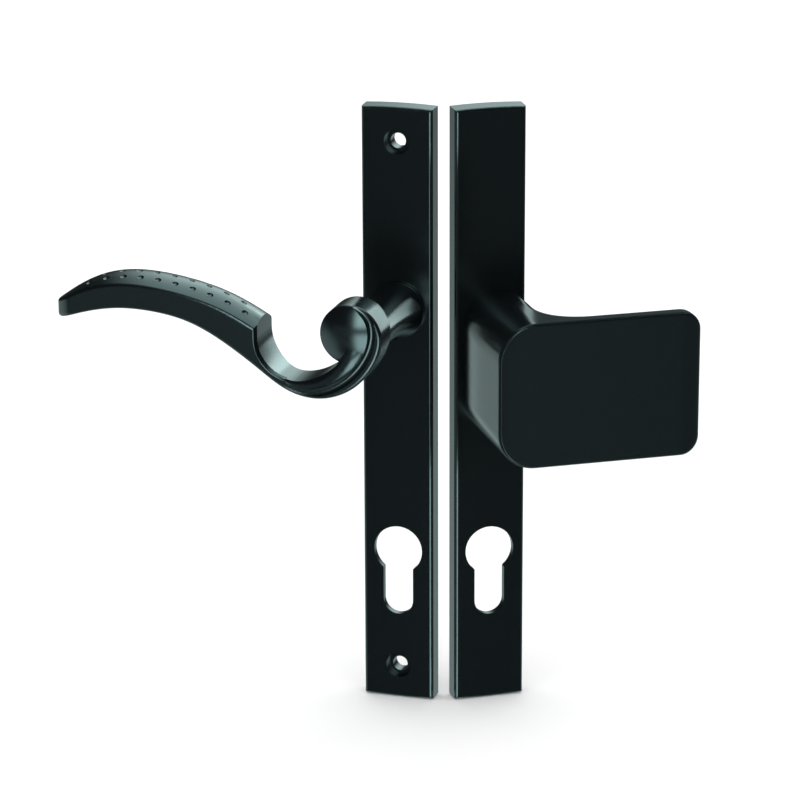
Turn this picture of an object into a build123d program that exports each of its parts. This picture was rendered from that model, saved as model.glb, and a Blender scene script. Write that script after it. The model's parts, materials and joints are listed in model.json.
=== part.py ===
"""Gate handle set: a lever half and a fixed-knob half on narrow plates.

Frame: the origin is on the spindle axis, in the plane where the lever plate meets the gate.
+X points right, +Y into the gate and +Z up, so that distances "in front" are along -Y.
The knob half stands beside the lever half, turned about Z. Millimetres.
"""
import os
from math import cos, radians, sin, sqrt

from build123d import *

# Plates, the same on both halves
plate_width = 26.0
plate_above = 73.0          # spindle axis to the upper end
plate_below = 147.0         # spindle axis to the lower end
plate_depth = 7.0
plate_draft = 1.2           # degrees, the face is smaller than the back
end_bow = 0.4               # rise of the bowed upper and lower ends
side_wall = 2.2
face_wall = 2.6
front_round = 1.1
screw_spacing = 195.0
screw_hole = 5.5
head_recess = 9.3
recess_depth = 2.2
post_wall = 0.55            # round the head recess, on the posts behind the screw holes
cylinder_drop = 90.0        # spindle axis to the lock cylinder's centre
cylinder_hole = 17.8
cylinder_slot = 11.0
cylinder_height = 33.4

# Lever bearing, fitted between the side walls of the plate
running_gap = 0.05
seat_gap = 0.02
bush_wall = 1.5
flange_lip = 0.65
flange_depth = 0.6
boss_wall = 1.75            # plate's side walls to the bush
washer_depth = 0.7
washer_gap = 0.6            # plate's side walls to the washer
ring_depth = 0.8
ring_lip = 2.1              # how far the ring stands out of the journal
ring_opening = 9.0
ring_gap = 0.3              # between ring and spring
groove_depth = 0.6
journal_gap = 0.2           # journal's end to the gate face
spring_strip = 0.5
spring_width = 1.4
spring_turns = 2
spring_gap = 0.5            # journal to the middle of the innermost turn
spring_room = 0.8           # side wall to the middle of the outermost turn
spring_tail = 9.0
spring_tab = 1.8
spring_pin = 1.6
spring_back = 0.4
spindle_size = 8.1
spindle_depth = 22.0
grub_size = 5.0
grub_length = 4.2
grub_key = 2.5
grub_key_depth = 1.5
spring_slot_gap = 0.3
grub_distance = 15.0        # in front of the gate face

# Lever
lever_front = 57.0          # gate face to the front of the lever
grip_depth = 18.0
stem_depth = 12.5
neck_cover = 0.4            # how far the neck's base reaches past the bush
neck_lip = 1.0
shoulder_size = 17.0        # where the flare draws in
shoulder_distance = 14.0
neck_waist = 13.0
waist_start = 20.0
waist_distance = 32.0
neck_overlap = 3.0          # how far the neck runs into the bar
tip_reach = 110.0
tip_round = 7.0
grip_root = -34.5           # where the stem turns into the grip
taper_start = -40.0
taper_end = -20.0
void_radius = 13.7          # round hollow between grip and scroll
void_x = -22.0
void_z = 0.4
head_x = -2.3               # domed head of the scroll
head_z = 4.3
head_radius = 10.5
head_rise = 3.0
head_setback = 0.5          # edge of the dome, behind the front of the lever
head_round = 0.9
groove_round = 1.4          # groove between the scroll's rim and its head
edge_round = 0.6
sweep_round = 1.2
grip_back_round = 1.5
hollow_bevel = 0.7          # across the front, where it meets the round hollow
hollow_bevel_depth = 1.8
dimple_pitch = 6.3
dimple_start = 40.7         # spindle axis to the first dimple
dimple_end = 12.0           # bare length at the tip
dimple_row_step = 5.0
dimple_slant = -2.1         # shift along the grip from one row to the next
dimple_radius = 1.7
dimple_sink = 0.5

# Scroll outline, side-on, as X and Z
scroll_points = [
    (-6.5, 13.0), (0.0, 14.6), (5.8, 11.2), (9.0, 4.6), (8.2, -1.8), (5.0, -8.2), (-1.5, -15.0),
    (-13.3, -19.4), (-24.5, -17.4),
]
# Lower edge of the grip: share of the way from its root to the tip, height
grip_points = [(0.0, -11.0), (0.17, -2.2), (0.34, 4.2), (0.52, 7.0), (0.71, 7.0), (0.87, 4.4), (1.03, 0.2)]
tail_inner = [(-15.5, -13.3), (-10.0, -9.6), (-6.3, -6.1)]
crease_end = (-2.8, -0.6)
# Crown of the grip: share of the way to the tip, height of its front edge, rise in the middle
crown_stations = [
    (-0.03, 1.5, 3.2), (0.13, 7.8, 3.3), (0.30, 12.5, 3.2), (0.47, 15.1, 3.1),
    (0.63, 16.0, 2.9), (0.79, 14.5, 2.2), (0.91, 11.0, 1.3), (1.04, 5.0, 0.5),
]

# Rounded front of the tail: place in X and Z, heading in degrees, half width, height in the middle and inside
tail_stations = [
    (1.6, 4.0, -90.0, 4.2, 0.9, 0.3), (1.0, -0.5, -97.0, 4.1, 1.6, 1.5), (-0.8, -4.6, -115.0, 3.9, 2.4, 1.8),
    (-4.3, -8.3, -133.0, 3.6, 2.6, 1.2), (-9.0, -12.0, -148.0, 3.2, 2.2, 0.6),
    (-15.2, -14.7, -167.0, 2.9, 1.6, 0.3), (-22.8, -14.5, -188.0, 1.8, 0.7, -0.2),
    (-30.9, -11.2, -216.0, 1.3, -1.2, -2.3),
]
tail_sink = 2.5
tail_dip = 0.6              # outer edge of the tail, below the front
# Groove round the head: place in X and Z, depth
groove_points = [
    (-3.6, 15.4, 0.1), (1.8, 13.6, 0.6), (5.1, 9.5, 0.8), (5.7, 3.2, 0.9), (4.3, -2.0, 0.9), (2.3, -5.8, 0.9),
    (-1.5, -10.5, 0.8), (-7.0, -14.7, 0.7), (-14.4, -17.3, 0.5), (-23.0, -16.2, 0.2), (-31.0, -11.9, -0.2),
]

# Knob
knob_height = 52.0
knob_centre = -19.5
knob_neck = 20.0
knob_front = 51.0
pad_thick = 7.6
pad_reach = 63.3
pad_bend = 55.5             # where the far end starts to curl back
pad_curl = 0.9
pad_near_round = 13.5
pad_far_round = 6.8
pad_sweep = 16.0            # how far the hollow behind the pad reaches along it
hollow_fullness = 0.2       # share of the sweep where the hollow leaves the pad
hollow_depth = 0.5          # share of the sweep where it meets the neck
rim_round = 1.1
back_round = 3.2
knob_screw_spacing = 28.0
knob_screw_size = 5.0
knob_screw_length = 20.0
screw_tip_gap = 1.0
knob_screw_head = 8.6
knob_screw_head_depth = 2.4
key_size = 3.0
key_depth = 1.4
thread_gap = 0.05
hole_gap = 0.2
threaded_post_size = 9.4
rib_wall = 1.8
tap_size = 4.2
tap_floor = 1.4             # metal left in front of the tapped hole

# The two halves beside each other
halves_gap = 4.0
halves_turn = 31.6          # degrees

# Values worked out from those above
cut_margin = 1.0            # cutters run past the faces by this much
plate_middle = (plate_above - plate_below) / 2
post_size = head_recess + 2 * post_wall
screw_places = [(0, plate_middle + screw_spacing / 2), (0, plate_middle - screw_spacing / 2)]
tap_depth = plate_depth - tap_floor

ring_back = spring_back + spring_width + ring_gap
boss_back = ring_back + ring_depth + washer_depth
boss_depth = plate_depth - boss_back
inside_width = plate_width - 2 * side_wall
washer_size = inside_width - 2 * washer_gap
bush_size = inside_width - 2 * boss_wall
flange_size = bush_size + 2 * flange_lip
neck_base = flange_size + 2 * neck_cover
journal_size = bush_size - 2 * (bush_wall + running_gap)
ring_size = journal_size + 2 * ring_lip
groove_size = journal_size - 2 * groove_depth
spring_start = journal_size / 2 + spring_gap
spring_end = inside_width / 2 - spring_room
spring_pitch = (spring_end - spring_start) / spring_turns
spring_pin_place = (spring_end - (spring_strip + spring_pin) / 2 - seat_gap, spring_tail - spring_pin / 2)

neck_start = plate_depth + flange_depth
neck_flare = neck_start + neck_lip
grip_back = lever_front - grip_depth
grip_middle = lever_front - grip_depth / 2
grip_length = tip_reach + grip_root
stem_back = lever_front - stem_depth
neck_inside = stem_back + neck_overlap
head_edge = lever_front - head_setback
head_dome = (head_radius ** 2 + head_rise ** 2) / (2 * head_rise)
hollow_left = void_x - void_radius
lever_clear = 2 * void_radius     # no part of the lever stands higher or lower
sweep_points = scroll_points + [(grip_root - share * grip_length, height) for share, height in grip_points]
scroll_right = max(x for x, z in sweep_points) + cut_margin
dimple_columns = int((tip_reach - dimple_end - dimple_start) / dimple_pitch) + 1

knob_screw_places = [(0, knob_centre + knob_screw_spacing / 2), (0, knob_centre - knob_screw_spacing / 2)]
face_back = plate_depth - face_wall
screw_hole_depth = knob_screw_length - face_wall + screw_tip_gap
pad_back = knob_front - pad_thick
neck_run = pad_back - pad_sweep
pad_sweep_end = knob_neck / 2 + pad_sweep
half_width = plate_width / 2
turn = radians(halves_turn)
knob_x = half_width + halves_gap * cos(turn / 2) + half_width * cos(turn)
knob_y = halves_gap * sin(turn / 2) + half_width * sin(turn)
lever_face = Plane.XZ
knob_face = Plane((knob_x, knob_y, 0), x_dir=(cos(turn), sin(turn), 0), z_dir=(sin(turn), -cos(turn), 0))
knob_depth = Axis((knob_x, knob_y, 0), (-sin(turn), cos(turn), 0))
knob_across = Axis((knob_x, knob_y, 0), (cos(turn), sin(turn), 0))
knob_plan = Plane((knob_x, knob_y, 0), x_dir=(cos(turn), sin(turn), 0), z_dir=(0, 0, 1))

os.makedirs("parts", exist_ok=True)


def plate_outline(inset):
    """Outline of a plate with straight sides and bowed ends, drawn smaller all round by the inset."""
    x = half_width - inset
    top = plate_above - inset
    bottom = -plate_below + inset
    with BuildSketch() as outline:
        with BuildLine():
            Line((-x, bottom + end_bow), (-x, top - end_bow))
            ThreePointArc((-x, top - end_bow), (0, top), (x, top - end_bow))
            Line((x, top - end_bow), (x, bottom + end_bow))
            ThreePointArc((x, bottom + end_bow), (0, bottom), (-x, bottom + end_bow))
        make_face()
    return outline.sketch


def cylinder_outline():
    """Keyhole shape of a profile lock cylinder: a circle with a round-ended slot below it."""
    slot_drop = cylinder_height - cylinder_hole / 2 - cylinder_slot / 2
    with BuildSketch() as outline:
        with Locations((0, -cylinder_drop)):
            Circle(cylinder_hole / 2)
        with Locations((0, -cylinder_drop - slot_drop)):
            Circle(cylinder_slot / 2)
        with Locations((0, -cylinder_drop - slot_drop / 2)):
            Rectangle(cylinder_slot, slot_drop)
    return outline.sketch


with BuildPart() as lever_plate:
    with BuildSketch(lever_face):
        add(plate_outline(0))
    extrude(amount=plate_depth, taper=plate_draft)
    fillet(lever_plate.faces().sort_by(Axis.Y)[0].edges(), front_round)
    # Hollow back, with posts for the screws and a raised pad across the plate for the bush
    with BuildSketch(lever_face):
        add(plate_outline(side_wall))
        with Locations(*screw_places):
            Circle(post_size / 2, mode=Mode.SUBTRACT)
        Rectangle(plate_width, inside_width, mode=Mode.SUBTRACT)
    extrude(amount=face_back, mode=Mode.SUBTRACT)
    with BuildSketch(lever_face):
        Rectangle(inside_width, inside_width)
    extrude(amount=boss_back, mode=Mode.SUBTRACT)
    with BuildSketch(lever_face.offset(spring_back)):
        with Locations(spring_pin_place):
            Circle(spring_pin / 2)
    extrude(amount=face_back - spring_back)
    with BuildSketch(lever_face):
        Circle(bush_size / 2 + seat_gap)
        with Locations(*screw_places):
            Circle(screw_hole / 2)
        add(cylinder_outline())
    extrude(amount=plate_depth, mode=Mode.SUBTRACT)
    with BuildSketch(lever_face.offset(plate_depth)):
        with Locations(*screw_places):
            Circle(head_recess / 2)
    extrude(amount=-recess_depth, mode=Mode.SUBTRACT)
lever_plate.part.label = "lever_plate"
export_step(lever_plate.part, "parts/lever_plate.step")

with BuildPart() as neck_bush:
    with BuildSketch(lever_face.offset(boss_back)):
        Circle(bush_size / 2)
        Circle(journal_size / 2 + running_gap, mode=Mode.SUBTRACT)
    extrude(amount=boss_depth)
    with BuildSketch(lever_face.offset(plate_depth)):
        Circle(flange_size / 2)
        Circle(journal_size / 2 + running_gap, mode=Mode.SUBTRACT)
    extrude(amount=flange_depth)
neck_bush.part.label = "neck_bush"
export_step(neck_bush.part, "parts/neck_bush.step")

with BuildPart() as thrust_washer:
    with BuildSketch(lever_face.offset(boss_back)):
        Circle(washer_size / 2)
        Circle(journal_size / 2 + running_gap, mode=Mode.SUBTRACT)
    extrude(amount=-washer_depth)
thrust_washer.part.label = "thrust_washer"
export_step(thrust_washer.part, "parts/thrust_washer.step")

with BuildPart() as retaining_ring:
    with BuildSketch(lever_face.offset(ring_back)):
        Circle(ring_size / 2)
        Circle(groove_size / 2 + seat_gap, mode=Mode.SUBTRACT)
        with Locations((0, -ring_size / 2)):
            Rectangle(ring_opening, ring_size, mode=Mode.SUBTRACT)
    extrude(amount=ring_depth)
retaining_ring.part.label = "retaining_ring"
export_step(retaining_ring.part, "parts/retaining_ring.step")

with BuildPart() as return_spring:
    with BuildSketch(lever_face.offset(spring_back)):
        with BuildLine():
            Line((spring_start - spring_tab, 0), (spring_start, 0))
            for lap in range(spring_turns):
                near = spring_start + lap * spring_pitch
                far = near + spring_pitch
                ThreePointArc((near, 0), (0, near), (-near, 0))
                low = (near + far) / 2
                ThreePointArc((-near, 0), (far - low, -low), (far, 0))
            Line((spring_end, 0), (spring_end, spring_tail))
        trace(line_width=spring_strip)
    extrude(amount=spring_width)
return_spring.part.label = "return_spring"
export_step(return_spring.part, "parts/return_spring.step")

def lever_outline():
    """Side-on outline of the lever: sweeping lower edge, round hollow, and the notch beside the head."""
    with BuildSketch() as outline:
        with BuildLine():
            Spline(*sweep_points)
            Polyline(sweep_points[-1], (-tip_reach - cut_margin, lever_clear), (hollow_left, lever_clear),
                     (hollow_left, void_z))
            RadiusArc((hollow_left, void_z), (void_x, void_z - void_radius), -void_radius)
            Bezier((void_x, void_z - void_radius), *tail_inner)
            Polyline(tail_inner[-1], crease_end, sweep_points[0])
        make_face()
    return outline.sketch


# Rounded front of the scroll's tail, trimmed to the lever's outline
with BuildPart() as tail_front:
    for x, z, heading, half, rise, inside in tail_stations:
        way = radians(heading)
        side = (-sin(way), 0, cos(way))
        along = (cos(way), 0, sin(way))
        flank = tail_sink - tail_dip
        with BuildSketch(Plane((x, tail_sink - lever_front, z), x_dir=side, z_dir=along)):
            with BuildLine():
                Line((-half, 0), (-half, inside + tail_sink))
                ThreePointArc((-half, inside + tail_sink), (0, rise + tail_sink), (half, flank))
                Polyline((half, flank), (half, 0), (-half, 0))
            make_face()
    loft()
    with BuildSketch(Plane.XZ.offset(2 * lever_front)):
        add(lever_outline())
    extrude(amount=-2 * lever_front, mode=Mode.INTERSECT)

with BuildPart() as lever_handle:
    # Plan of the bar: deep grip with a rounded tip, shallower stem and scroll
    with BuildSketch(Plane.XY.offset(-lever_clear)):
        with BuildLine():
            Line((scroll_right, -lever_front), (tip_round - tip_reach, -lever_front))
            RadiusArc((tip_round - tip_reach, -lever_front), (-tip_reach, tip_round - lever_front), tip_round)
            Line((-tip_reach, tip_round - lever_front), (-tip_reach, -tip_round - grip_back))
            RadiusArc((-tip_reach, -tip_round - grip_back), (tip_round - tip_reach, -grip_back), tip_round)
            Line((tip_round - tip_reach, -grip_back), (taper_start, -grip_back))
            middle = (taper_start + taper_end) / 2
            Bezier((taper_start, -grip_back), (middle, -grip_back), (middle, -stem_back),
                   (taper_end, -stem_back))
            Polyline((taper_end, -stem_back), (scroll_right, -stem_back), (scroll_right, -lever_front))
        make_face()
    extrude(amount=2 * lever_clear)
    with BuildSketch(Plane.XZ.offset(2 * lever_front)):
        add(lever_outline())
    extrude(amount=-2 * lever_front, mode=Mode.INTERSECT)
    # Crowned top of the grip
    front = -lever_front - cut_margin
    back = cut_margin - grip_back
    for share, edge, rise in crown_stations:
        radius = (grip_depth ** 2 / 4 + rise ** 2) / (2 * rise)
        low = edge + rise - radius + sqrt(radius ** 2 - (grip_depth / 2 + cut_margin) ** 2)
        with BuildSketch(Plane.YZ.offset(grip_root - share * grip_length)):
            with BuildLine():
                ThreePointArc((front, low), (-grip_middle, edge + rise), (back, low))
                Polyline((back, low), (back, 2 * lever_clear), (front, 2 * lever_clear), (front, low))
            make_face()
    loft(mode=Mode.SUBTRACT)
    # Bevel along the front of the round hollow, and rounded edges
    front_face = lever_handle.faces().filter_by(Axis.Y).sort_by(Axis.Y)[0]
    hollow_edge = front_face.edges().filter_by(GeomType.CIRCLE).sort_by(SortBy.LENGTH)[-1]
    chamfer(hollow_edge, hollow_bevel, hollow_bevel_depth, reference=front_face)
    fillet(lever_handle.edges().group_by(Axis.Y)[0].sort_by(SortBy.LENGTH)[-1], sweep_round)
    fillet(lever_handle.edges().group_by(Axis.Y)[-1].filter_by(Axis.Z, reverse=True), grip_back_round)
    fillet(lever_handle.edges().group_by(Axis.Y)[0].filter_by(Axis.Z, reverse=True), edge_round)
    # Domed head of the scroll, its tail, and the groove that sets both off from the rim
    with BuildSketch(Plane((head_x, 0, head_z))):
        with BuildLine():
            Line((0, -stem_back), (head_radius, -stem_back))
            Line((head_radius, -stem_back), (head_radius, -head_edge))
            RadiusArc((head_radius, -head_edge), (0, -head_edge - head_rise), head_dome)
            Line((0, -head_edge - head_rise), (0, -stem_back))
        make_face()
        fillet(vertices().sort_by(Axis.X)[-2:].sort_by(Axis.Y)[0], head_round)
    revolve(axis=Axis((head_x, 0, head_z), (0, 1, 0)))
    add(tail_front.part)
    with BuildLine() as groove_path:
        Spline(*[(x, depth - groove_round - lever_front, z) for x, z, depth in groove_points])
    with BuildSketch(groove_path.line ^ 0):
        Circle(groove_round)
    sweep(path=groove_path.line, mode=Mode.SUBTRACT)
    # Flared neck and the journal behind it
    with BuildSketch(Plane.XY):
        with BuildLine():
            Polyline((0, -neck_inside), (0, -journal_gap), (journal_size / 2, -journal_gap),
                     (journal_size / 2, -neck_start), (neck_base / 2, -neck_start),
                     (neck_base / 2, -neck_flare))
            Bezier((neck_base / 2, -neck_flare), (shoulder_size / 2, -shoulder_distance),
                   (neck_waist / 2, -waist_start), (neck_waist / 2, -waist_distance))
            Polyline((neck_waist / 2, -waist_distance), (neck_waist / 2, -neck_inside), (0, -neck_inside))
        make_face()
    revolve(axis=Axis.Y)
    # Ring groove, square socket, spring slot and tapped hole for the grub screw
    with BuildSketch(Plane.XZ.offset(ring_back)):
        Circle(journal_size)
        Circle(groove_size / 2, mode=Mode.SUBTRACT)
    extrude(amount=ring_depth, mode=Mode.SUBTRACT)
    with BuildSketch(Plane.XZ):
        Rectangle(spindle_size, spindle_size)
    extrude(amount=spindle_depth, mode=Mode.SUBTRACT)
    with BuildSketch(Plane.XZ):
        with Locations((spring_start - spring_tab / 2, 0)):
            Rectangle(spring_tab + 2 * spring_slot_gap, spring_strip + 2 * spring_slot_gap)
    extrude(amount=spring_back + spring_width + spring_slot_gap, mode=Mode.SUBTRACT)
    with BuildSketch(Plane.XY):
        with Locations((0, -grub_distance)):
            Circle(grub_size / 2 + thread_gap)
    extrude(amount=-neck_base, mode=Mode.SUBTRACT)
    # Dimples in three rows along the crown
    crown = lever_handle.faces().sort_by(Axis.Z)[-1]
    hollows = []
    for row in (-1, 0, 1):
        for column in range(dimple_columns):
            x = (row + 1) * dimple_slant - dimple_start - column * dimple_pitch
            y = row * dimple_row_step - grip_middle
            for point, normal in crown.find_intersection_points(Axis((x, y, 0), (0, 0, 1))):
                hollows.append(point + normal * (dimple_radius - dimple_sink))
    with Locations(*hollows):
        Sphere(dimple_radius, rotation=(90, 0, 0), mode=Mode.SUBTRACT)
lever_handle.part.label = "lever_handle"
export_step(lever_handle.part, "parts/lever_handle.step")

with BuildPart() as grub_screw:
    with BuildSketch(Plane.XY.offset(-spindle_size / 2 - seat_gap)):
        with Locations((0, -grub_distance)):
            Circle(grub_size / 2)
    extrude(amount=-grub_length)
    with BuildSketch(Plane.XY.offset(-spindle_size / 2 - seat_gap - grub_length)):
        with Locations((0, -grub_distance)):
            RegularPolygon(grub_key / 2, 6, major_radius=False)
    extrude(amount=grub_key_depth, mode=Mode.SUBTRACT)
grub_screw.part.label = "grub_screw"
export_step(grub_screw.part, "parts/grub_screw.step")

with BuildPart() as knob_plate:
    with BuildSketch(knob_face):
        add(plate_outline(0))
    extrude(amount=plate_depth, taper=plate_draft)
    fillet(knob_plate.faces().sort_by(knob_depth)[0].edges(), front_round)
    # Hollow back, with tapped posts for the through screws, tied to the side walls by ribs
    with BuildSketch(knob_face):
        add(plate_outline(side_wall))
        with Locations(*screw_places):
            Circle(threaded_post_size / 2, mode=Mode.SUBTRACT)
            Rectangle(plate_width, rib_wall, mode=Mode.SUBTRACT)
    extrude(amount=face_back, mode=Mode.SUBTRACT)
    with BuildSketch(knob_face):
        with Locations(*screw_places):
            Circle(tap_size / 2)
    extrude(amount=tap_depth, mode=Mode.SUBTRACT)
    with BuildSketch(knob_face):
        add(cylinder_outline())
        with Locations(*knob_screw_places):
            Circle(knob_screw_size / 2 + hole_gap)
    extrude(amount=plate_depth, mode=Mode.SUBTRACT)
knob_plate.part.label = "knob_plate"
export_step(knob_plate.part, "parts/knob_plate.step")

with BuildPart() as knob:
    # Plan: a neck on the plate that sweeps out into the pad
    with BuildSketch(knob_plan.offset(knob_centre - knob_height / 2)):
        with BuildLine():
            Polyline((knob_neck / 2, -neck_run), (knob_neck / 2, -plate_depth),
                     (-knob_neck / 2, -plate_depth), (-knob_neck / 2, -knob_front), (pad_bend, -knob_front))
            TangentArc((pad_bend, -knob_front), (pad_reach, pad_curl - knob_front), tangent=(1, 0))
            Polyline((pad_reach, pad_curl - knob_front), (pad_reach, -pad_back), (pad_sweep_end, -pad_back))
            Bezier((pad_sweep_end, -pad_back), (knob_neck / 2 + pad_sweep * hollow_fullness, -pad_back),
                   (knob_neck / 2, pad_sweep * hollow_depth - pad_back), (knob_neck / 2, -neck_run))
        make_face()
    extrude(amount=knob_height)
    # Front outline: soft corners at the neck end, tighter ones at the far end
    with BuildSketch(knob_face.offset(knob_front)):
        with Locations(((pad_reach - knob_neck / 2) / 2, knob_centre)):
            Rectangle(pad_reach + knob_neck / 2, knob_height)
        fillet(vertices().group_by(Axis.X)[0], pad_near_round)
        fillet(vertices().group_by(Axis.X)[-1], pad_far_round)
    extrude(amount=plate_depth - knob_front, mode=Mode.INTERSECT)
    # Rounded edges behind the pad and down the neck, then the rim of the front
    rear = knob.edges().filter_by_position(knob_depth, -pad_back - seat_gap, -plate_depth - cut_margin)
    rear = rear.filter_by_position(knob_across, knob_neck / 2 - seat_gap, pad_reach + seat_gap)
    far_edge = rear.filter_by(Axis.Z).sort_by(knob_across)[-1]
    fillet(rear.filter_by(Axis.Z, reverse=True) + [far_edge], back_round)
    rim_back = pad_curl - knob_front + seat_gap
    front_rim = knob.edges().filter_by_position(knob_depth, -knob_front - seat_gap, rim_back)
    upright = front_rim.filter_by(Axis.Z).sort_by(knob_across)
    fillet(front_rim.filter_by(Axis.Z, reverse=True) + [upright[0], upright[-1]], rim_round)
    with BuildSketch(knob_face.offset(plate_depth)):
        with Locations(*knob_screw_places):
            Circle(knob_screw_size / 2 + thread_gap)
    extrude(amount=screw_hole_depth, mode=Mode.SUBTRACT)
knob.part.label = "knob"
export_step(knob.part, "parts/knob.step")


def knob_screw(place):
    """Cap screw from behind the knob plate, with its head against the inside of the plate's face."""
    with BuildPart() as screw:
        with BuildSketch(knob_face.offset(face_back)):
            with Locations(place):
                Circle(knob_screw_size / 2)
        extrude(amount=knob_screw_length)
        with BuildSketch(knob_face.offset(face_back)):
            with Locations(place):
                Circle(knob_screw_head / 2)
        extrude(amount=-knob_screw_head_depth)
        with BuildSketch(knob_face.offset(face_back - knob_screw_head_depth)):
            with Locations(place):
                RegularPolygon(key_size / 2, 6, major_radius=False)
        extrude(amount=key_depth, mode=Mode.SUBTRACT)
    return screw.part


for name, place in zip(("knob_screw_upper", "knob_screw_lower"), knob_screw_places):
    screw = knob_screw(place)
    screw.label = name
    export_step(screw, f"parts/{name}.step")
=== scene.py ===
import json
from math import cos, pi, radians, sin

import bpy
from mathutils import Matrix, Vector


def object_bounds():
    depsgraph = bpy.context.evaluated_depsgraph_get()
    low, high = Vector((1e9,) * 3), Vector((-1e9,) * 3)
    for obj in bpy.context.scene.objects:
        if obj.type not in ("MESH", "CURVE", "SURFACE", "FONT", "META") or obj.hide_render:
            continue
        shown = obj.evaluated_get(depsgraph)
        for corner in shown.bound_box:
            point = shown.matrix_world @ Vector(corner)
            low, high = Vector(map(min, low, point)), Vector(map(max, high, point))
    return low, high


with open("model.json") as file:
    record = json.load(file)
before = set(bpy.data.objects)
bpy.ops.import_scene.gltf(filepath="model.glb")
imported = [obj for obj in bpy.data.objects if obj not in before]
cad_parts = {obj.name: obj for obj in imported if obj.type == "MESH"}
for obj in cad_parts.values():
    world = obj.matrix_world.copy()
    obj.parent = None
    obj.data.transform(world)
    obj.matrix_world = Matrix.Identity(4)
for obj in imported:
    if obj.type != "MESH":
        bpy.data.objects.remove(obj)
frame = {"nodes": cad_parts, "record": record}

MILLIMETRES = 1000.0

# Camera, as fitted to the outline of the two plates: metres, degrees, and millimetres of lens and sensor
CAMERA_PLACE = (0.34466, -1.16396, 0.34517)
CAMERA_YAW = 15.798
CAMERA_PITCH = 17.416
CAMERA_LENS = 160.25
CAMERA_SENSOR = 36.0
CAMERA_SHIFT = -0.05556

# Span of the noise values that a finish uses
NOISE_LOW = 0.3
NOISE_HIGH = 0.7

# Floor, in metres: its front edge from the object's front, the others from the origin
FLOOR_FRONT = 0.12
FLOOR_BACK = 4.0
FLOOR_SIDE = 3.0
FLOOR_COLOUR = (0.97, 0.97, 0.97, 1.0)

# Dim cards by the knob: their two sides in X, and their edge as Y and Z
CARD_COLOUR = (0.16, 0.22, 0.22, 1.0)
CARDS = (
    dict(name="top_card", sides=(0.043, 0.135), edge=((0.018, -0.010), (0.018, 0.072), (-0.075, 0.072))),
    dict(name="front_card", sides=(0.020, 0.060), edge=((-0.062, -0.075), (-0.062, 0.040))),
)

# Light on matt surfaces and behind the object, then light in reflections between the soft boxes
PLAIN_LIGHT = 1.2
DIM_LIGHT = 0.03
WHITE = (1.0, 1.0, 1.0, 1.0)
STUDIO_TINT = (0.78, 1.0, 0.985, 1.0)

# Upright edges of the two front strips, in degrees to the right of the front
STRIP_LEFT = -2.0
HIGH_STRIP_RIGHT = 25.0
LOW_STRIP_RIGHT = 33.0

# Soft steps: the shares along a direction where the light starts and where it is full
STRIP_LEFT_STEP = (-0.12, 0.14)
STRIP_RIGHT_STEP = (0.08, -0.08)
UP = (0.0, 0.0, 1.0)
RIGHT = (1.0, 0.0, 0.0)
HIGH_STRIP_FOOT = (UP, -0.03, 0.14)
HIGH_STRIP_HEAD = (UP, 0.80, 0.50)
LOW_STRIP_FOOT = (UP, -0.85, -0.60)
LOW_STRIP_HEAD = (UP, -0.07, -0.25)
BACK_BOX_ROUND = ((0.08, 0.50, 0.86), 0.45, 0.95)
BACK_BOX_LEFT = (RIGHT, -0.60, -0.10)
BACK_BOX_RIGHT = (RIGHT, 0.75, 0.30)
LEFT_GLOW_ROUND = ((-0.85, -0.24, -0.47), 0.80, 0.97)
LOW_GLOW_HEAD = (UP, -0.05, -0.35)
LOW_GLOW_FRONT = ((0.28, -0.96, 0.0), 0.55, 0.20)

# Strength of each soft box
HIGH_STRIP_LIGHT = 11.5
LOW_STRIP_LIGHT = 9.0
BACK_BOX_LIGHT = 4.0
LEFT_GLOW_LIGHT = 0.7
LOW_GLOW_LIGHT = 0.75

# Lamps for one half each. The target, distance and size are in metres. The lamp stands at an azimuth to the
# right of the front and at a height, both in degrees, seen from its target
HALF_LIGHTS = (
    dict(
        name="lever_side_box", lit="lever_handle", plate="lever_plate", target=(0.006, -0.025, 0.0),
        azimuth=157.0, height=16.0, distance=0.5, size=0.40, radiance=3.3,
    ),
    dict(
        name="lever_front_box", lit="lever_handle", plate="lever_plate", target=(-0.05, -0.055, 0.0),
        azimuth=-21.0, height=-16.0, distance=0.5, size=0.40, radiance=0.30,
    ),
    dict(
        name="knob_side_box", lit="knob", plate="knob_plate", target=(0.022, -0.02, -0.02),
        azimuth=-131.0, height=-17.0, distance=0.4, size=0.30, radiance=0.56,
    ),
    dict(
        name="knob_front_box", lit="knob", plate="knob_plate", target=(0.07, -0.025, -0.02),
        azimuth=52.0, height=-17.0, distance=0.5, size=0.50, radiance=0.17,
    ),
)


def link(tree, source, output, target, socket):
    """Joins one socket of a node tree to another, by name."""
    tree.links.new(source.outputs[output], target.inputs[socket])


def coordinates(tree):
    """Object coordinates in millimetres."""
    place = tree.nodes.new("ShaderNodeTexCoord")
    scale = tree.nodes.new("ShaderNodeVectorMath")
    scale.operation = "SCALE"
    scale.inputs["Scale"].default_value = MILLIMETRES
    link(tree, place, "Object", scale, "Vector")
    return scale


def noise(tree, place, scale, detail):
    """Noise whose scale is in features for each millimetre."""
    node = tree.nodes.new("ShaderNodeTexNoise")
    node.inputs["Scale"].default_value = scale
    node.inputs["Detail"].default_value = detail
    link(tree, place, "Vector", node, "Vector")
    return node


def spread(tree, source, low, high):
    """Maps the used span of a noise value onto a range."""
    node = tree.nodes.new("ShaderNodeMapRange")
    node.inputs["From Min"].default_value = NOISE_LOW
    node.inputs["From Max"].default_value = NOISE_HIGH
    node.inputs["To Min"].default_value = low
    node.inputs["To Max"].default_value = high
    link(tree, source, "Fac", node, "Value")
    return node


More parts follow.
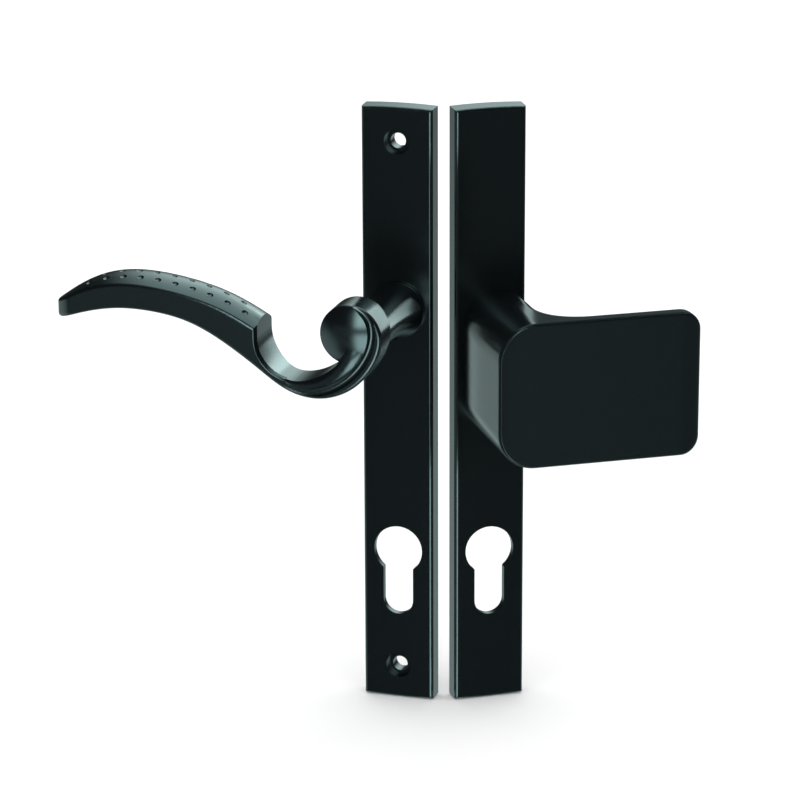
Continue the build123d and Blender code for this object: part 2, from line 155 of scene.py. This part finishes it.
def shades(tree, source, dark, light):
    """Colour that goes from dark to light with a noise value."""
    node = tree.nodes.new("ShaderNodeMix")
    node.data_type = "RGBA"
    node.inputs["A"].default_value = dark
    node.inputs["B"].default_value = light
    link(tree, source, "Fac", node, "Factor")
    return node


def new_material(name):
    """New node material, its tree and its principled shader."""
    material = bpy.data.materials.new(name)
    material.use_nodes = True
    return material, material.node_tree, material.node_tree.nodes["Principled BSDF"]


def powder_coat():
    """Black satin powder coat: fine orange peel, slow changes of gloss, a cool tint in its reflections."""
    material, tree, shader = new_material("black_powder_coat")
    place = coordinates(tree)
    grain = noise(tree, place, scale=2.6, detail=3.0)
    peel = noise(tree, place, scale=0.55, detail=2.0)
    colour = shades(tree, grain, dark=(0.0017, 0.0025, 0.0030, 1.0), light=(0.0026, 0.0038, 0.0046, 1.0))
    link(tree, colour, "Result", shader, "Base Color")
    link(tree, spread(tree, peel, low=0.205, high=0.225), "Result", shader, "Roughness")
    shader.inputs["Specular IOR Level"].default_value = 0.45
    shader.inputs["Specular Tint"].default_value = (0.80, 0.97, 1.0, 1.0)
    bump = tree.nodes.new("ShaderNodeBump")
    bump.inputs["Strength"].default_value = 0.10
    bump.inputs["Distance"].default_value = 0.00004
    link(tree, grain, "Fac", bump, "Height")
    link(tree, bump, "Normal", shader, "Normal")
    return material


def plain_nylon():
    """Matt black nylon of the bush."""
    material, tree, shader = new_material("black_nylon")
    grain = noise(tree, coordinates(tree), scale=4.0, detail=2.0)
    link(tree, spread(tree, grain, low=0.50, high=0.62), "Result", shader, "Roughness")
    shader.inputs["Base Color"].default_value = (0.012, 0.012, 0.012, 1.0)
    return material


def zinc_steel():
    """Bright zinc-plated steel with a faint mottle."""
    material, tree, shader = new_material("zinc_steel")
    mottle = noise(tree, coordinates(tree), scale=1.8, detail=4.0)
    colour = shades(tree, mottle, dark=(0.50, 0.50, 0.52, 1.0), light=(0.66, 0.66, 0.66, 1.0))
    link(tree, colour, "Result", shader, "Base Color")
    link(tree, spread(tree, mottle, low=0.24, high=0.40), "Result", shader, "Roughness")
    shader.inputs["Metallic"].default_value = 1.0
    return material


def black_steel():
    """Blackened hardened steel of the grub screw."""
    material, tree, shader = new_material("black_steel")
    mottle = noise(tree, coordinates(tree), scale=2.4, detail=3.0)
    link(tree, spread(tree, mottle, low=0.34, high=0.46), "Result", shader, "Roughness")
    shader.inputs["Base Color"].default_value = (0.020, 0.020, 0.022, 1.0)
    shader.inputs["Metallic"].default_value = 1.0
    return material


def finish_nodes():
    """Gives each CAD node the material of its slot, and the grub screw its own."""
    finishes = {"black_coating": powder_coat(), "black_nylon": plain_nylon(), "plain_steel": zinc_steel()}
    slots = {part["node"]: part["material_slot"] for part in frame["record"]["subparts"]}
    for name, node in frame["nodes"].items():
        node.data.materials.clear()
        node.data.materials.append(finishes[slots[name]])
    frame["nodes"]["grub_screw"].data.materials[0] = black_steel()


def add_camera():
    """Camera at the photograph's angle, turned about Z and then looking down."""
    data = bpy.data.cameras.new("camera")
    data.lens = CAMERA_LENS
    data.sensor_width = CAMERA_SENSOR
    data.shift_x = CAMERA_SHIFT
    camera = bpy.data.objects.new("camera", data)
    turn = Matrix.Rotation(radians(CAMERA_YAW), 4, "Z")
    tilt = Matrix.Rotation(radians(90.0 - CAMERA_PITCH), 4, "X")
    camera.matrix_world = Matrix.Translation(CAMERA_PLACE) @ turn @ tilt
    bpy.context.scene.collection.objects.link(camera)
    bpy.context.scene.camera = camera


def add_stage(name, corners, faces, colour):
    """Matt surface of the studio, which isn't part of the object."""
    mesh = bpy.data.meshes.new(name)
    mesh.from_pydata(corners, [], faces)
    surface = bpy.data.objects.new(name, mesh)
    bpy.context.scene.collection.objects.link(surface)
    material, _, shader = new_material(name)
    shader.inputs["Base Color"].default_value = colour
    shader.inputs["Roughness"].default_value = 1.0
    shader.inputs["Specular IOR Level"].default_value = 0.0
    mesh.materials.append(material)
    return surface


def add_floor():
    """White floor under the plates, which shows in no reflection."""
    low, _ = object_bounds()
    front = low.y - FLOOR_FRONT
    corners = [
        (-FLOOR_SIDE, front, low.z), (FLOOR_SIDE, front, low.z),
        (FLOOR_SIDE, FLOOR_BACK, low.z), (-FLOOR_SIDE, FLOOR_BACK, low.z),
    ]
    floor = add_stage("floor", corners, [(0, 1, 2, 3)], FLOOR_COLOUR)
    floor.visible_glossy = False


def add_card(name, sides, edge):
    """Dim card that shows in reflections alone: its edge, as Y and Z, carried across from side to side."""
    corners = [(x, y, z) for y, z in edge for x in sides]
    faces = [(2 * i, 2 * i + 1, 2 * i + 3, 2 * i + 2) for i in range(len(edge) - 1)]
    card = add_stage(name, corners, faces, CARD_COLOUR)
    card.visible_camera = False
    card.visible_diffuse = False
    card.visible_shadow = False


def facing(tree, place, side, start, end):
    """Smooth step from 0 to 1 while a direction's share along one side goes from start to end."""
    share = tree.nodes.new("ShaderNodeVectorMath")
    share.operation = "DOT_PRODUCT"
    share.inputs[1].default_value = Vector(side).normalized()
    link(tree, place, "Generated", share, 0)
    step = tree.nodes.new("ShaderNodeMapRange")
    step.interpolation_type = "SMOOTHSTEP"
    step.inputs["From Min"].default_value = start
    step.inputs["From Max"].default_value = end
    link(tree, share, "Value", step, "Value")
    return step.outputs["Result"]


def combine(tree, operation, first, second):
    """Sum or product of a socket's value and a number or another socket's value."""
    node = tree.nodes.new("ShaderNodeMath")
    node.operation = operation
    tree.links.new(first, node.inputs[0])
    if isinstance(second, float):
        node.inputs[1].default_value = second
    else:
        tree.links.new(second, node.inputs[1])
    return node.outputs["Value"]


def soft_box(tree, place, strength, edges):
    """Brightness of a soft box by direction: its strength times the soft step at each of its edges."""
    light = None
    for side, start, end in edges:
        step = facing(tree, place, side, start, end)
        light = step if light is None else combine(tree, "MULTIPLY", light, step)
    return combine(tree, "MULTIPLY", light, strength)


def upright_edge(azimuth, step):
    """Soft step across an upright edge at an angle from the front, to the right."""
    return (cos(radians(azimuth)), sin(radians(azimuth)), 0.0), *step


def studio_light(tree):
    """Sum of the soft boxes that the coat mirrors, by direction, on a dim ground."""
    place = tree.nodes.new("ShaderNodeTexCoord")
    left = upright_edge(STRIP_LEFT, STRIP_LEFT_STEP)
    high_right = upright_edge(HIGH_STRIP_RIGHT, STRIP_RIGHT_STEP)
    low_right = upright_edge(LOW_STRIP_RIGHT, STRIP_RIGHT_STEP)
    boxes = (
        (HIGH_STRIP_LIGHT, (left, high_right, HIGH_STRIP_FOOT, HIGH_STRIP_HEAD)),
        (LOW_STRIP_LIGHT, (left, low_right, LOW_STRIP_FOOT, LOW_STRIP_HEAD)),
        (BACK_BOX_LIGHT, (BACK_BOX_ROUND, BACK_BOX_LEFT, BACK_BOX_RIGHT)),
        (LEFT_GLOW_LIGHT, (LEFT_GLOW_ROUND,)),
        (LOW_GLOW_LIGHT, (LOW_GLOW_HEAD, LOW_GLOW_FRONT)),
    )
    total = DIM_LIGHT
    for strength, edges in boxes:
        total = combine(tree, "ADD", soft_box(tree, place, strength, edges), total)
    return total


def add_world():
    """Studio with soft boxes in the reflections, even light on matt surfaces, and plain white behind."""
    world = bpy.data.worlds.new("studio")
    world.use_nodes = True
    tree = world.node_tree
    tree.nodes.clear()
    path = tree.nodes.new("ShaderNodeLightPath")
    tint = tree.nodes.new("ShaderNodeMix")
    tint.data_type = "RGBA"
    tint.inputs["A"].default_value = WHITE
    tint.inputs["B"].default_value = STUDIO_TINT
    link(tree, path, "Is Glossy Ray", tint, "Factor")
    strength = tree.nodes.new("ShaderNodeMix")
    strength.inputs["A"].default_value = PLAIN_LIGHT
    tree.links.new(studio_light(tree), strength.inputs["B"])
    link(tree, path, "Is Glossy Ray", strength, "Factor")
    light = tree.nodes.new("ShaderNodeBackground")
    link(tree, tint, "Result", light, "Color")
    link(tree, strength, "Result", light, "Strength")
    output = tree.nodes.new("ShaderNodeOutputWorld")
    link(tree, light, "Background", output, "Surface")
    bpy.context.scene.world = world


def named_nodes(name, nodes):
    """Collection of some of the CAD nodes, for a lamp that lights or is shaded by these alone."""
    group = bpy.data.collections.new(name)
    for node in nodes:
        group.objects.link(frame["nodes"][node])
    return group


def add_half_light(name, lit, plate, target, azimuth, height, distance, size, radiance):
    """Soft box for the handle of one half, which only that handle and its own plate can shade."""
    data = bpy.data.lights.new(name, "AREA")
    data.shape = "SQUARE"
    data.size = size
    data.energy = radiance * pi * size**2
    data.color = STUDIO_TINT[:3]
    lamp = bpy.data.objects.new(name, data)
    flat = cos(radians(height))
    side = Vector((flat * sin(radians(azimuth)), -flat * cos(radians(azimuth)), sin(radians(height))))
    turn = (-side).to_track_quat("-Z", "Y").to_matrix().to_4x4()
    lamp.matrix_world = Matrix.Translation(Vector(target) + distance * side) @ turn
    lamp.visible_camera = False
    bpy.context.scene.collection.objects.link(lamp)
    lamp.light_linking.receiver_collection = named_nodes(name + "_lights", (lit,))
    lamp.light_linking.blocker_collection = named_nodes(name + "_shades", (lit, plate))


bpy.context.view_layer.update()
finish_nodes()
add_camera()
add_floor()
for card in CARDS:
    add_card(**card)
add_world()
for half_light in HALF_LIGHTS:
    add_half_light(**half_light)

bpy.context.scene.view_settings.view_transform = "Standard"
